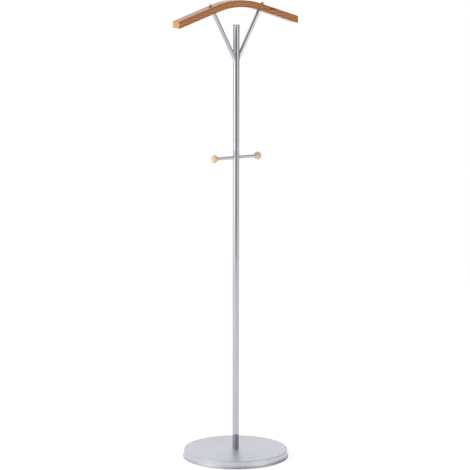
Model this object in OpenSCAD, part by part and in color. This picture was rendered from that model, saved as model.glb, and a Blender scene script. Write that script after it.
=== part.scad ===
// Valet stand: round weighted base, steel pole, cross rod with two wooden knobs,
// and a bowed wooden hanger on two slanting tubes.
// Origin at the centre of the underside, +Z up, X along the hanger. Millimetres.

/* [Overall] */
// Height from the floor to the top of the hanger
total_h = 1430; // [1180:5:1800]
// Drop from the top of the hanger to the free upper end of the pole
pole_drop = 74; // [40:1:90]
// Drop from the top of the hanger to the point where the slanting tubes' axes meet
arm_drop = 189; // [160:1:230]
// Height of the cross rod with the knobs above the floor
peg_z = 947; // [400:5:950]

/* [Base cover] */
// Diameter of the cover above the flare
cover_d = 324; // [260:2:400]
// How far the flared lip stands out beyond the wall
lip_spread = 3.5; // [2:0.5:6]
// Height of the base from the floor to its top
base_h = 25; // [23:1:34]
// Thickness of the spun sheet
cover_t = 1.2; // [0.8:0.1:2]
// Radius of the rounded shoulder
shoulder_r = 2.5; // [2:0.5:6]
// Height at which the flare starts
flare_h = 13; // [10:0.5:16]
// Height of the lip's straight edge
lip_edge = 1.6; // [1:0.1:3]
// Gap between the lip and the floor
lip_gap = 0.8; // [0.5:0.1:1.5]

/* [Base weight] */
// Gap between the weight and the inside of the cover
weight_gap = 1.3; // [0.5:0.1:3]
// Height of the weight's underside above the floor
weight_clear = 5; // [4:0.5:6]
// Depth of the dish in the weight's underside
dish_depth = 6; // [2:0.5:7]
// Width of the weight's outer ring
ring_w = 30; // [28:1:60]
// Diameter of the hub around the bolt
hub_d = 64; // [50:1:90]

/* [Feet] */
// Number of rubber feet
foot_count = 6; // [3:1:8]
// Diameter of a foot
foot_d = 22; // [18:1:24]
// Depth of the pocket that a foot sits in
foot_pocket = 1.2; // [0.5:0.1:1.5]
// Thread diameter of a foot screw
foot_screw_d = 4; // [3:0.5:5]
// Length of a foot screw's thread
foot_screw_len = 12; // [8:1:12]

/* [Pole] */
// Outside diameter of the pole
pole_d = 20; // [18:1:24]
// Wall of the pole
pole_wall = 1.5; // [1:0.1:2]
// Thickness of the cap's visible disc
cap_t = 1.2; // [0.8:0.1:3]
// Length of the cap's spigot inside the pole
cap_spigot = 10; // [5:1:20]
// Length of the threaded plug in the pole's lower end
foot_plug_len = 30; // [26:1:50]
// Thread diameter of the bolt that holds the pole
bolt_d = 10; // [8:1:10]
// Length of that bolt under its head
bolt_len = 35; // [30:1:35]

/* [Pegs] */
// Diameter of the cross rod
rod_d = 10; // [8:1:12]
// Distance between the knobs' centres
knob_span = 157; // [120:2:260]
// Diameter of a knob
knob_d = 25; // [22:1:36]
// Thickness of a knob along the rod
knob_t = 20; // [18:1:22]
// Length of the knob's neck
neck_len = 6; // [4:1:12]
// Thread diameter of the studs in the knobs
knob_stud_d = 5; // [4:1:6]
// Thread diameter of the set screw that locks the rod
set_screw_d = 4; // [3:1:5]

/* [Arms] */
// Outside diameter of the slanting tubes
arm_d = 12; // [10:1:14]
// Wall of the slanting tubes
arm_wall = 1.2; // [1:0.1:1.5]
// Angle of the tubes from the vertical
arm_angle = 28; // [24:1:34]
// Width of the weld fillets
weld_w = 3; // [1:0.5:3]
// Length of the threaded plugs in the tubes' upper ends
arm_plug_len = 16; // [14:1:30]

/* [Hanger] */
// Length of the hanger from end to end
hanger_len = 428; // [360:2:520]
// Depth of the hanger from front to back
hanger_depth = 40; // [30:1:60]
// Thickness of the hanger
hanger_t = 20.5; // [18:0.5:24]
// Slope of the hanger's straight shoulders
shoulder_angle = 18; // [14:0.5:22]
// Radius of the bend at the top, measured on the upper face
crown_r = 260; // [180:5:320]
// Bevel of the upper corner of each end
end_bevel = 3; // [1:0.5:5]

/* [Hanger fixings] */
// Thread diameter of the studs through the wood
stud_d = 6; // [5:1:6]
// Depth of the seat for the tube in the wood's underside
seat_depth = 2.2; // [1.5:0.1:4]
// Depth of the spot face for the washer in the wood's upper side
spot_depth = 1.8; // [1.5:0.1:4]
// How far the dark ring between tube and wood stands out beyond the tube
seat_ring_rim = 0.8; // [0.5:0.1:1.5]
// Thickness of that ring
seat_ring_t = 1.6; // [1:0.1:3]
// Diameter of the washers
washer_d = 18; // [14:1:20]
// Thickness of the washers
washer_t = 1.6; // [1:0.1:2.5]
// Width across the flats of the cap nuts
nut_flats = 10; // [9:1:12]
// Height of the cap nuts' hexagon
nut_hex_h = 5; // [4:0.5:7]
// Height of the cap nuts from the washer to the top of the dome
nut_h = 9.4; // [8.5:0.1:12]

/* [Clearances] */
// Radial gap of a bolt or stud in its drilled hole
drill_gap = 0.3; // [0.1:0.05:0.6]
// Radial gap of a pad, ring or washer in its recess
recess_gap = 0.3; // [0.1:0.05:0.6]
// Radial gap of a plug or a thread in its hole
slip_gap = 0.05; // [0.02:0.01:0.1]

/* [Hidden] */

$fn = 64;
far = 400;                                  // reach of cutting tools
left = -1;
right = 1;

pole_top_z = total_h - pole_drop;
arm_z = total_h - arm_drop;
pole_r = pole_d / 2;
pole_bore_r = pole_r - pole_wall;
plug_r = pole_bore_r - slip_gap;

// Base weight: a revolved disc, with a counterbore that hides the bolt's head
weight_r = cover_d / 2 - cover_t - weight_gap;
weight_top = base_h - cover_t;
weight_bevel = shoulder_r;
ring_r = weight_r - ring_w / 2;             // circle of the feet
bolt_washer_t = 2;
bolt_washer_d = 2 * bolt_d;
lock_washer_t = 2.2;
lock_washer_d = 1.8 * bolt_d;
bolt_head_h = 0.64 * bolt_d;
bolt_head_flats = 1.7 * bolt_d;
bore_margin = 0.6;                          // room over the bolt's head
head_bore_top = weight_clear + bore_margin + bolt_head_h + lock_washer_t + bolt_washer_t;
head_bore_d = bolt_washer_d + 8;            // room for a socket spanner
head_seat = head_bore_top - bolt_washer_t - lock_washer_t;

// Feet: pads with a counterbored hole for a pan-head screw
foot_h = weight_clear + foot_pocket;
foot_screw_head_d = 2 * foot_screw_d;
foot_screw_head_h = 0.6 * foot_screw_d;
foot_seat = foot_h / 2;                     // height of the face under the screw's head

// Pegs
knob_face = knob_span / 2 - knob_t / 2;     // where the ball meets its neck
rod_half = knob_face - neck_len;
knob_stud_reach = 11;
set_screw_len = pole_r - rod_d / 2;

// Hanger: two straight shoulders tangent to a crown
crown_z = total_h - crown_r;
ridge_z = crown_z + crown_r / cos(shoulder_angle);   // where the two upper faces would cross
rise = hanger_t / cos(shoulder_angle);
cross_x = 1 / tan(arm_angle) + tan(shoulder_angle);
under_s = (ridge_z - rise - arm_z) / cross_x / sin(arm_angle);
over_s = (ridge_z - arm_z) / cross_x / sin(arm_angle);
seat_s = under_s + seat_depth;
spot_s = over_s - spot_depth;
arm_len = seat_s - seat_ring_t;
seat_ring_r = arm_d / 2 + seat_ring_rim;
arm_bore_r = arm_d / 2 - arm_wall;
stud_hole_r = stud_d / 2 + drill_gap;
stud_bottom = arm_len - arm_plug_len + 2;
nut_s = spot_s + washer_t;
stud_top = nut_s + nut_hex_h;

module ring(r_out, r_in, h) {
    difference() {
        cylinder(r = r_out, h = h);
        translate([0, 0, -1]) cylinder(r = r_in, h = h + 2);
    }
}

module hexagon(flats, h) {
    cylinder(r = flats / 2 / cos(30), h = h, $fn = 6);
}

// hexagon with its corners turned down at both ends or at one
module turned_hexagon(flats, h) {
    corner_r = flats / 2 / cos(30);
    intersection() {
        hexagon(flats, h);
        cylinder(r1 = flats / 2 - 0.2, r2 = flats / 2 - 0.2 + 2 * h, h = h);
        translate([0, 0, -h]) cylinder(r1 = corner_r + 2 * h - 0.6, r2 = corner_r - 0.6, h = 2 * h);
    }
}

// places its children along a slanting tube: +Z runs up the tube from the pole's axis
module on_arm(side) {
    translate([0, 0, arm_z]) rotate([0, side * arm_angle, 0]) children();
}

// places its children along the cross rod: +Z runs outwards from the pole's axis
module on_rod(side) {
    translate([0, 0, peg_z]) rotate([0, side * 90, 0]) children();
}

// one position for each foot
module at_feet() {
    for (i = [0 : foot_count - 1]) {
        rotate([0, 0, (i + 0.5) * 360 / foot_count]) translate([ring_r, 0, 0]) children();
    }
}

// half outline of the cover, drawn inwards by the inset
module cover_outline(inset, floor_z) {
    wall_r = cover_d / 2 - inset;
    lip_r = wall_r + lip_spread;
    top = base_h - inset;
    round_r = shoulder_r - inset;
    lip_top = lip_gap + lip_edge;
    drop = flare_h - lip_top;
    flare_r = (drop * drop + lip_spread * lip_spread) / (2 * lip_spread);
    translate([0, flare_h]) square([wall_r, top - round_r - flare_h]);
    translate([0, top - round_r]) square([wall_r - round_r, round_r]);
    intersection() {
        translate([wall_r - round_r, top - round_r]) circle(r = round_r);
        translate([wall_r - round_r, top - round_r]) square([round_r, round_r]);
    }
    difference() {
        translate([0, floor_z]) square([lip_r, flare_h - floor_z]);
        translate([wall_r + flare_r + inset, flare_h]) circle(r = flare_r + inset, $fn = 96);
    }
}

module base_cover() {
    color("lightsteelblue")
    rotate_extrude() difference() {
        cover_outline(0, lip_gap);
        cover_outline(cover_t, -1);
        square([bolt_d / 2 + drill_gap, base_h + 1]);
    }
}

module base_weight() {
    dish_r = weight_r - ring_w;
    color("dimgray")
    difference() {
        rotate_extrude() polygon([
            [0, weight_clear],
            [hub_d / 2, weight_clear],
            [hub_d / 2 + dish_depth / 2, weight_clear + dish_depth],
            [dish_r - dish_depth / 2, weight_clear + dish_depth],
            [dish_r, weight_clear],
            [weight_r, weight_clear],
            [weight_r, weight_top - weight_bevel],
            [weight_r - weight_bevel, weight_top],
            [0, weight_top]
        ]);
        cylinder(r = bolt_d / 2 + drill_gap, h = base_h);
        cylinder(r = head_bore_d / 2, h = head_bore_top);
        at_feet() {
            cylinder(r = foot_d / 2 + recess_gap, h = foot_h);
            cylinder(r = foot_screw_d / 2 + slip_gap, h = foot_seat + foot_screw_len + 1);
        }
    }
}

module rubber_feet() {
    edge = 1.5;
    color("black")
    at_feet() rotate_extrude() polygon([
        [foot_screw_head_d / 2 + recess_gap, 0],
        [foot_d / 2 - edge, 0],
        [foot_d / 2, edge],
        [foot_d / 2, foot_h],
        [foot_screw_d / 2 + drill_gap, foot_h],
        [foot_screw_d / 2 + drill_gap, foot_seat],
        [foot_screw_head_d / 2 + recess_gap, foot_seat]
    ]);
}

module foot_screws() {
    slot_w = foot_screw_d / 4;
    color("silver")
    at_feet() difference() {
        union() {
            translate([0, 0, foot_seat - foot_screw_head_h])
                cylinder(r = foot_screw_head_d / 2, h = foot_screw_head_h);
            translate([0, 0, foot_seat]) cylinder(r = foot_screw_d / 2, h = foot_screw_len);
        }
        for (turn = [0, 90]) {
            rotate([0, 0, turn]) translate([-foot_screw_d / 2, -slot_w / 2, 0])
                cube([foot_screw_d, slot_w, foot_seat - foot_screw_head_h / 3]);
        }
    }
}

module pole_bolt() {
    color("silver")
    union() {
        translate([0, 0, head_seat - bolt_head_h]) turned_hexagon(bolt_head_flats, bolt_head_h);
        translate([0, 0, head_seat]) cylinder(r = bolt_d / 2, h = bolt_len);
    }
}

module pole_bolt_washer() {
    color("silver")
    translate([0, 0, head_bore_top - bolt_washer_t])
        ring(bolt_washer_d / 2, bolt_d / 2 + drill_gap, bolt_washer_t);
}

module pole_lock_washer() {
    split_w = 1.5;
    color("gray")
    translate([0, 0, head_seat]) difference() {
        ring(lock_washer_d / 2, bolt_d / 2 + drill_gap, lock_washer_t);
        rotate([0, 0, 20]) translate([0, -split_w / 2, -1])
            cube([lock_washer_d, split_w, lock_washer_t + 2]);
    }
}

module pole_foot_plug() {
    color("gray")
    translate([0, 0, base_h]) ring(plug_r, bolt_d / 2 + slip_gap, foot_plug_len);
}

module pole() {
    color("silver")
    difference() {
        translate([0, 0, base_h]) ring(pole_r, pole_bore_r, pole_top_z - cap_t - base_h);
        translate([0, 0, peg_z]) rotate([0, 90, 0])
            cylinder(r = rod_d / 2 + slip_gap, h = 2 * pole_d, center = true);
        translate([0, 0, peg_z]) rotate([-90, 0, 0])
            cylinder(r = set_screw_d / 2 + slip_gap, h = pole_d);
    }
}

module pole_top_cap() {
    color("silver")
    union() {
        translate([0, 0, pole_top_z - cap_t]) cylinder(r = pole_r, h = cap_t);
        translate([0, 0, pole_top_z - cap_t - cap_spigot]) cylinder(r = plug_r, h = cap_spigot);
    }
}

module peg_rod() {
    color("silver")
    translate([0, 0, peg_z]) rotate([0, 90, 0]) difference() {
        cylinder(r = rod_d / 2, h = 2 * rod_half, center = true);
        for (end = [0, 180]) {
            rotate([end, 0, 0]) translate([0, 0, rod_half - knob_stud_reach - 1])
                cylinder(r = knob_stud_d / 2 + slip_gap, h = knob_stud_reach + 2);
        }
    }
}

module peg_set_screw() {
    socket_r = set_screw_d / 4;
    color("gray")
    translate([0, rod_d / 2, peg_z]) rotate([-90, 0, 0]) difference() {
        cylinder(r = set_screw_d / 2, h = set_screw_len);
        translate([0, 0, set_screw_len - set_screw_d / 2]) cylinder(r = socket_r, h = set_screw_d, $fn = 6);
    }
}

module peg_knob(side) {
    round_r = knob_t / 2;
    neck_r = rod_d / 2;
    overlap = knob_t / 4;                   // how far the neck runs into the ball
    color("burlywood")
    on_rod(side) difference() {
        rotate_extrude() intersection() {
            translate([0, rod_half]) square([knob_d, knob_t + neck_len + 1]);
            union() {
                translate([0, knob_span / 2 - round_r]) square([knob_d / 2 - round_r, 2 * round_r]);
                translate([knob_d / 2 - round_r, knob_span / 2]) circle(r = round_r, $fn = 48);
                polygon([
                    [0, rod_half],
                    [neck_r, rod_half],
                    [neck_r + 1, knob_face + overlap],
                    [0, knob_face + overlap]
                ]);
            }
        }
        translate([0, 0, rod_half - 1]) cylinder(r = knob_stud_d / 2 + slip_gap, h = knob_stud_reach + 2);
    }
}

module knob_stud(side) {
    color("gray")
    on_rod(side) translate([0, 0, rod_half - knob_stud_reach])
        cylinder(r = knob_stud_d / 2, h = 2 * knob_stud_reach);
}

module arm_tube(side) {
    color("silver")
    difference() {
        on_arm(side) difference() {
            cylinder(r = arm_d / 2, h = arm_len);
            translate([0, 0, -1]) cylinder(r = arm_bore_r, h = arm_len + 2);
        }
        translate([0, 0, arm_z - pole_d]) cylinder(r = pole_r, h = far);
    }
}

// the fillet lies in the corner between the tube and the pole
module arm_weld(side) {
    color("silver")
    difference() {
        intersection() {
            on_arm(side) cylinder(r = arm_d / 2 + weld_w / 2, h = arm_len / 2);
            translate([0, 0, arm_z - pole_d]) cylinder(r = pole_r + weld_w, h = far);
        }
        translate([0, 0, arm_z - 2 * pole_d]) cylinder(r = pole_r, h = far);
        on_arm(side) cylinder(r = arm_d / 2, h = arm_len);
    }
}

module arm_plug(side) {
    color("gray")
    on_arm(side) translate([0, 0, arm_len - arm_plug_len])
        ring(arm_bore_r - slip_gap, stud_d / 2 + slip_gap, arm_plug_len);
}

module seat_ring(side) {
    color("black")
    on_arm(side) translate([0, 0, arm_len]) ring(seat_ring_r, stud_hole_r, seat_ring_t);
}

module hanger_stud(side) {
    color("silver")
    on_arm(side) translate([0, 0, stud_bottom]) cylinder(r = stud_d / 2, h = stud_top - stud_bottom);
}

module hanger_washer(side) {
    color("silver")
    on_arm(side) translate([0, 0, spot_s]) ring(washer_d / 2, stud_hole_r, washer_t);
}

module cap_nut(side) {
    dome_r = nut_flats / 2 - 0.3;
    thread_h = stud_top - nut_s;
    color("silver")
    on_arm(side) translate([0, 0, nut_s]) difference() {
        union() {
            turned_hexagon(nut_flats, nut_hex_h);
            translate([0, 0, nut_hex_h - 0.5]) intersection() {
                translate([0, 0, nut_h - nut_hex_h + 0.5 - dome_r]) sphere(r = dome_r);
                cylinder(r = nut_flats, h = nut_h);
            }
        }
        translate([0, 0, -1]) cylinder(r = stud_d / 2 + slip_gap, h = thread_h + 1);
    }
}

// side view from the crown's centre: two straight shoulders that would meet in a ridge,
// with the ridge rounded off and the round underside of the crown cut away
module hanger_outline() {
    end_x = hanger_len / 2;
    end_y = (crown_r - end_x * sin(shoulder_angle)) / cos(shoulder_angle);
    low_r = crown_r - hanger_t;
    low_bevel = end_bevel / 2;
    tangent_x = crown_r * sin(shoulder_angle);
    shoulder = [
        [end_x - end_bevel, end_y + end_bevel * tan(shoulder_angle)],
        [end_x, end_y - end_bevel],
        [end_x, end_y - rise + low_bevel],
        [end_x - low_bevel, end_y - rise + low_bevel * tan(shoulder_angle)],
        [low_r * sin(shoulder_angle), low_r * cos(shoulder_angle)]
    ];
    difference() {
        polygon(concat(
            [[0, crown_r / cos(shoulder_angle)]],
            shoulder,
            [for (i = [len(shoulder) - 1 : -1 : 0]) [-shoulder[i][0], shoulder[i][1]]]
        ));
        circle(r = low_r, $fn = 180);
        difference() {
            translate([-tangent_x, crown_r * cos(shoulder_angle)]) square([2 * tangent_x, crown_r]);
            circle(r = crown_r, $fn = 180);
        }
    }
}

module hanger_bar() {
    color("peru")
    difference() {
        translate([0, 0, crown_z]) rotate([90, 0, 0])
            linear_extrude(height = hanger_depth, center = true) hanger_outline();
        for (side = [left, right]) {
            on_arm(side) {
                cylinder(r = seat_ring_r + recess_gap, h = seat_s);
                cylinder(r = stud_hole_r, h = over_s + hanger_t);
                translate([0, 0, spot_s]) cylinder(r = washer_d / 2 + recess_gap, h = hanger_t);
            }
        }
    }
}

base_cover();
base_weight();
rubber_feet();
foot_screws();
pole_bolt();
pole_bolt_washer();
pole_lock_washer();
pole_foot_plug();
pole();
pole_top_cap();
peg_rod();
peg_set_screw();
peg_knob(left);  // left_peg_knob
peg_knob(right);  // right_peg_knob
knob_stud(left);  // left_knob_stud
knob_stud(right);  // right_knob_stud
arm_tube(left);  // left_arm_tube
arm_tube(right);  // right_arm_tube
arm_weld(left);  // left_arm_weld
arm_weld(right);  // right_arm_weld
arm_plug(left);  // left_arm_plug
arm_plug(right);  // right_arm_plug
seat_ring(left);  // left_seat_ring
seat_ring(right);  // right_seat_ring
hanger_stud(left);  // left_hanger_stud
hanger_stud(right);  // right_hanger_stud
hanger_washer(left);  // left_hanger_washer
hanger_washer(right);  // right_hanger_washer
cap_nut(left);  // left_cap_nut
cap_nut(right);  // right_cap_nut
hanger_bar();
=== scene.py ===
# Valet stand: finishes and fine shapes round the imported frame. Metres, +Z up, hanger along X.
import math
import bpy
import numpy as np
from mathutils import Matrix, Vector


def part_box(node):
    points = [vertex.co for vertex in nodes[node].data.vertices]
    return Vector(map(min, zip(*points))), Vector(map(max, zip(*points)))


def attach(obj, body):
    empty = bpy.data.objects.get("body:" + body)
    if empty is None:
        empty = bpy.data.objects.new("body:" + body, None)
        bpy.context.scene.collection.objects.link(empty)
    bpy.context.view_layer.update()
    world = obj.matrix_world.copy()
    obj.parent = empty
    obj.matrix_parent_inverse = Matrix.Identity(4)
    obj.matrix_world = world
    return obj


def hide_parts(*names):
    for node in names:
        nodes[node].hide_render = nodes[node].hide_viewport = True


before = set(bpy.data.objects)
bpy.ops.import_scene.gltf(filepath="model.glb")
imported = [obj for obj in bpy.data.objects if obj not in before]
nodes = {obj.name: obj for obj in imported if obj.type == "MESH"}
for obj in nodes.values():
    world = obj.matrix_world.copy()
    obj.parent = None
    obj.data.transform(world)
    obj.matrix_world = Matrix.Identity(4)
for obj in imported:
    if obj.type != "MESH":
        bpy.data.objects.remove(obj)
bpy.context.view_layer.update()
mm = 0.001
print("stage: frame loaded,", len(nodes), "nodes")


def putSurface(name, grid, loop):
    # grid[row, column] holds points; columns always close on themselves, rows do if loop is true.
    # otherwise the first and last rows have shrunk to one point each, which becomes a single vertex
    rows, columns = grid.shape[:2]
    place = np.arange(rows * columns).reshape(rows, columns)
    if not loop:
        place[0] = place[0, 0]
        place[-1] = place[-1, 0]
    upper = place if loop else place[:-1]
    lower = np.roll(place, -1, axis=0) if loop else place[1:]
    quads = np.stack([upper, np.roll(upper, -1, 1), np.roll(lower, -1, 1), lower], axis=-1).reshape(-1, 4)
    used, packed = np.unique(quads, return_inverse=True)
    quads = packed.reshape(-1, 4)
    points = grid.reshape(-1, 3)[used]
    # faces with a corner twice touch the first or the last row's single point: they become triangles
    atFirst = quads[:, 0] == quads[:, 1]
    atLast = quads[:, 2] == quads[:, 3]
    faces = [quads[~(atFirst | atLast)], quads[atFirst][:, [0, 2, 3]], quads[atLast][:, [0, 1, 2]]]
    # the signed volume of the faces' fans tells whether they look outwards
    a, b, c, d = (points[quads[:, i]] for i in range(4))
    volume = (np.einsum("ij,ij->i", a, np.cross(b, c)) + np.einsum("ij,ij->i", a, np.cross(c, d))).sum()
    if volume < 0:
        faces = [kind[:, ::-1] for kind in faces]
    mesh = bpy.data.meshes.new(name)
    mesh.from_pydata(points.tolist(), [], [face for kind in faces for face in kind.tolist()])
    mesh.update()
    piece = bpy.data.objects.new(name, mesh)
    bpy.context.scene.collection.objects.link(piece)
    return piece


def softCorners(corners, radii, steps=7, closed=True):
    # outline whose corners are swapped for arcs tangent to both sides: the arc's centre lies on the
    # bisector at radius / sin(half angle), its ends at radius / tan(half angle) from the corner
    corners = np.asarray(corners, float)
    out = []
    for i, (here, radius) in enumerate(zip(corners, radii)):
        before, after = corners[i - 1], corners[(i + 1) % len(corners)]
        if radius == 0 or (not closed and i in (0, len(corners) - 1)):
            out.append(here[None])
            continue
        u, v = before - here, after - here
        u, v = u / np.linalg.norm(u), v / np.linalg.norm(v)
        half = math.acos(np.clip(u @ v, -1, 1)) / 2
        centre = here + (u + v) / np.linalg.norm(u + v) * radius / math.sin(half)
        reach = radius / math.tan(half)
        start, end = here + u * reach - centre, here + v * reach - centre
        sweep = math.atan2(start[0] * end[1] - start[1] * end[0], start @ end)
        turn = np.linspace(0, sweep, steps)
        out.append(centre + np.stack([start[0] * np.cos(turn) - start[1] * np.sin(turn),
                                      start[0] * np.sin(turn) + start[1] * np.cos(turn)], 1))
    return np.concatenate(out)


def splitLong(outline, longest, closed=True):
    # adds evenly spaced points where two neighbours lie further apart than longest
    ends = np.roll(outline, -1, 0) if closed else outline[1:]
    starts = outline if closed else outline[:-1]
    pieces = []
    for a, b in zip(starts, ends):
        count = max(1, int(math.ceil(np.linalg.norm(b - a) / longest)))
        pieces.append(a + (b - a) * (np.arange(count) / count)[:, None])
    if not closed:
        pieces.append(outline[-1:])
    return np.concatenate(pieces)


def revolved(profile, segments=96):
    # point(row, angle) = (radius * cos angle, radius * sin angle, height)
    angle = np.arange(segments) / segments * 2 * math.pi
    radius, height = profile[:, :1], profile[:, 1:]
    return np.stack([radius * np.cos(angle), radius * np.sin(angle), height + 0 * angle], -1)


def carried(grid, origin, direction):
    # puts a shape drawn up +Z on an axis in the X-Z plane: +Z goes along direction, Y stays Y
    along = np.array(direction, float) / np.linalg.norm(direction)
    side = np.cross([0, 1, 0], along)
    flat = grid[..., :1] * side + grid[..., 1:2] * np.array([0, 1, 0])
    return np.array(origin, float) + flat + grid[..., 2:] * along


def finished(piece, material, replaced, sharpAngle=32):
    piece.data.materials.clear()
    piece.data.materials.append(material)
    piece.data.shade_smooth()
    piece.data.set_sharp_from_angle(angle=math.radians(sharpAngle))
    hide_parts(*replaced)
    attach(piece, "root")
    return piece


def bored(piece, cutters):
    # cuts each cutter's closed mesh out of the piece and keeps the result as the piece's own mesh
    for number, cutter in enumerate(cutters):
        cut = piece.modifiers.new("bore%d" % number, "BOOLEAN")
        cut.operation, cut.solver, cut.object = "DIFFERENCE", "EXACT", cutter
    bpy.context.view_layer.update()
    evaluated = piece.evaluated_get(bpy.context.evaluated_depsgraph_get())
    mesh = bpy.data.meshes.new_from_object(evaluated)
    piece.modifiers.clear()
    old, piece.data = piece.data, mesh
    bpy.data.meshes.remove(old)
    mesh.name = piece.name
    for cutter in cutters:
        bpy.data.objects.remove(cutter)
    return piece


def rod(name, radius, low, high, origin, direction, segments=64):
    # plain cylinder, used only as a cutter
    profile = np.array([[0, low], [radius, low], [radius, high], [0, high]])
    return putSurface(name, carried(revolved(profile, segments), origin, direction), False)


def middle(node):
    low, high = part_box(node)
    return np.array((low + high) / 2)


def span(node):
    low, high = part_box(node)
    return np.array(high - low)


def ringOnArm(node, tilt):
    # a ring of radius r and thickness t tilted by a measures 2 r sin a + t cos a in height
    size = span(node)
    radius = size[1] / 2
    return middle(node), radius, (size[2] - 2 * radius * math.sin(tilt)) / math.cos(tilt)


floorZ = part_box("rubber_feet")[0].z
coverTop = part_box("base_cover")[1].z
poleRadius = span("pole")[0] / 2
armLine = {}
for sideName, side in (("left", -1), ("right", 1)):
    seat, washer = middle(sideName + "_seat_ring"), middle(sideName + "_hanger_washer")
    direction = (washer - seat) / np.linalg.norm(washer - seat)
    origin = seat - direction * seat[0] / direction[0]
    armLine[sideName] = {"side": side, "origin": origin, "direction": direction,
                         "tilt": math.atan2(abs(direction[0]), direction[2])}


def feed(tree, socket, value):
    # a socket takes either a wire from another node or a fixed value
    if isinstance(value, bpy.types.NodeSocket):
        tree.links.new(value, socket)
    else:
        socket.default_value = value


def addNode(tree, kind, wires=None, **settings):
    made = tree.nodes.new(kind)
    for key, value in settings.items():
        setattr(made, key, value)
    for key, value in (wires or {}).items():
        feed(tree, made.inputs[key], value)
    return made


def startMaterial(name, **values):
    material = bpy.data.materials.new(name)
    material.use_nodes = True
    shader = material.node_tree.nodes["Principled BSDF"]
    for key, value in values.items():
        shader.inputs[key.replace("_", " ")].default_value = value
    return material, material.node_tree, shader


def wireUp(tree, shader, colour, roughness, normal):
    tree.links.new(colour, shader.inputs["Base Color"])
    tree.links.new(roughness, shader.inputs["Roughness"])
    tree.links.new(normal, shader.inputs["Normal"])


def objectPlace(tree, scale=(1, 1, 1), turn=(0, 0, 0), move=(0, 0, 0)):
    wires = {"Vector": addNode(tree, "ShaderNodeTexCoord").outputs["Object"], "Scale": scale,
             "Rotation": turn, "Location": move}
    return addNode(tree, "ShaderNodeMapping", wires).outputs["Vector"]


def noise(tree, place, scale, detail=3.0, roughness=0.55, output="Fac"):
    wires = {"Vector": place, "Scale": scale, "Detail": detail, "Roughness": roughness}
    return addNode(tree, "ShaderNodeTexNoise", wires).outputs[output]


def ramp(tree, value, stops, interpolation="LINEAR"):
    made = addNode(tree, "ShaderNodeValToRGB", {"Fac": value})
    band = made.color_ramp
    band.interpolation = interpolation
    while len(band.elements) < len(stops):
        band.elements.new(0.5)
    for element, (position, colour) in zip(band.elements, stops):
        element.position = position
        element.color = (*colour, 1)
    return made.outputs["Color"]


def spread(tree, value, low, high, fromLow=0.3, fromHigh=0.7, shape="LINEAR"):
    # fromLow..fromHigh becomes low..high, and is held there outside that range
    wires = {"Value": value, "From Min": fromLow, "From Max": fromHigh, "To Min": low, "To Max": high}
    return addNode(tree, "ShaderNodeMapRange", wires, interpolation_type=shape).outputs["Result"]


def maths(tree, operation, a, b=0.0):
    return addNode(tree, "ShaderNodeMath", {0: a, 1: b}, operation=operation).outputs[0]


def vectorMaths(tree, operation, a, b=(0, 0, 0)):
    # b is a vector, except for SCALE, which takes a plain number
    wires = {0: a, "Scale" if operation == "SCALE" else 1: b}
    made = addNode(tree, "ShaderNodeVectorMath", wires, operation=operation)
    return made.outputs["Value" if operation == "LENGTH" else "Vector"]


def weighed(tree, *parts):
    # sum of each value times its share
    scaled = [maths(tree, "MULTIPLY", value, share) for value, share in parts]
    total = scaled[0]
    for more in scaled[1:]:
        total = maths(tree, "ADD", total, more)
    return total


def blendColour(tree, factor, a, b, mode="MIX"):
    made = addNode(tree, "ShaderNodeMix", {0: factor}, data_type="RGBA", blend_type=mode)
    for number, colour in ((6, a), (7, b)):
        feed(tree, made.inputs[number], (*colour, 1) if isinstance(colour, tuple) else colour)
    return made.outputs[2]


def bump(tree, height, distance, strength=1.0, under=None):
    wires = {"Height": height, "Distance": distance, "Strength": strength}
    if under is not None:
        wires["Normal"] = under
    return addNode(tree, "ShaderNodeBump", wires).outputs["Normal"]


steelValues = {
    "colour": (0.510, 0.510, 0.545),
    "darkColour": (0.460, 0.460, 0.495),
    "roughness": (0.08, 0.15),
    "anisotropy": 0.25,
    "lineDepth": 0.0015 * mm,
}


def drawnSteel(name, tilt=0.0, lying=False):
    # satin steel: noise squeezed along the tube gives fine polishing lines in roughness and bump,
    # and a slow cloud of handling marks varies tone and roughness
    v = steelValues
    material, tree, shader = startMaterial(name, Metallic=1.0, Anisotropic=v["anisotropy"])
    turn = (0, -tilt + (math.pi / 2 if lying else 0), 0)
    lines = noise(tree, objectPlace(tree, (1, 1, 0.012), turn), 1600, 2.0)
    cloud = noise(tree, objectPlace(tree, (1, 1, 0.35), turn), 26, 4.0, 0.6)
    both = weighed(tree, (lines, 0.45), (cloud, 0.55))
    tone = blendColour(tree, spread(tree, both, 0, 1, 0.35, 0.65), v["darkColour"], v["colour"])
    wireUp(tree, shader, tone, spread(tree, both, *v["roughness"], 0.36, 0.64),
           bump(tree, lines, v["lineDepth"]))
    return material


def polar(tree):
    # radius and angle about the Z axis, and the height
    place = addNode(tree, "ShaderNodeSeparateXYZ", {"Vector": objectPlace(tree)})
    x, y = place.outputs["X"], place.outputs["Y"]
    squares = maths(tree, "ADD", maths(tree, "MULTIPLY", x, x), maths(tree, "MULTIPLY", y, y))
    return maths(tree, "SQRT", squares), maths(tree, "ARCTAN2", y, x), place.outputs["Z"]


coverFinish = {
    "colour": (0.610, 0.615, 0.670),
    "darkColour": (0.550, 0.555, 0.605),
    "roughness": (0.36, 0.46),
    "anisotropy": 0.27,
    "grooves": 1100,             # noise steps to the metre
    "grooveDepth": 0.012 * mm,
}


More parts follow.
